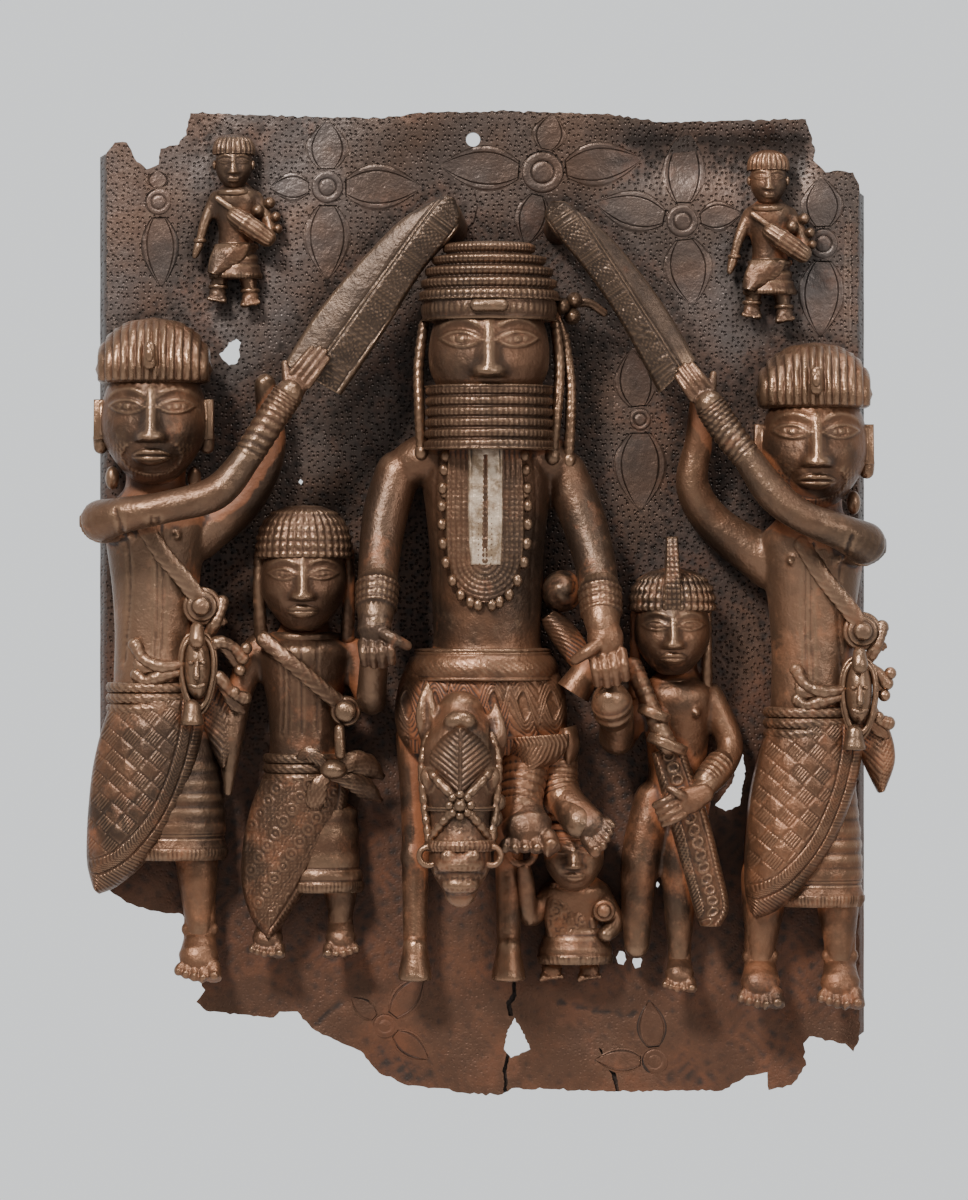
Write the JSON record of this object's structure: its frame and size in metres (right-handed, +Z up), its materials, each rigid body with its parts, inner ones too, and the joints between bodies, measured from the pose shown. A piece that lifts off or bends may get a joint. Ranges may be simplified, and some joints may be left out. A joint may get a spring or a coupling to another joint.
{
  "type": "cast brass relief plaque",
  "caption": "Rectangular cast wall plaque with a crowned rider on a horse, held by attendants under raised shields, on a stippled ground of flowers, its edges chipped and broken",
  "frame": {"origin": "middle of the plate's flat back, where it meets the post or wall that it is nailed to", "axes": "+X to the viewer's right, +Z up, -Y out to the viewer; +Y points into the wall"},
  "size_m": [0.4079, 0.11, 0.4953],
  "materials": {
    "patinated_brass": "brown and reddish patina, worn smooth and darker on the raised forms"
  },
  "bodies": {
    "root": {"plaque": "patinated_brass"}
  },
  "joints": []
}
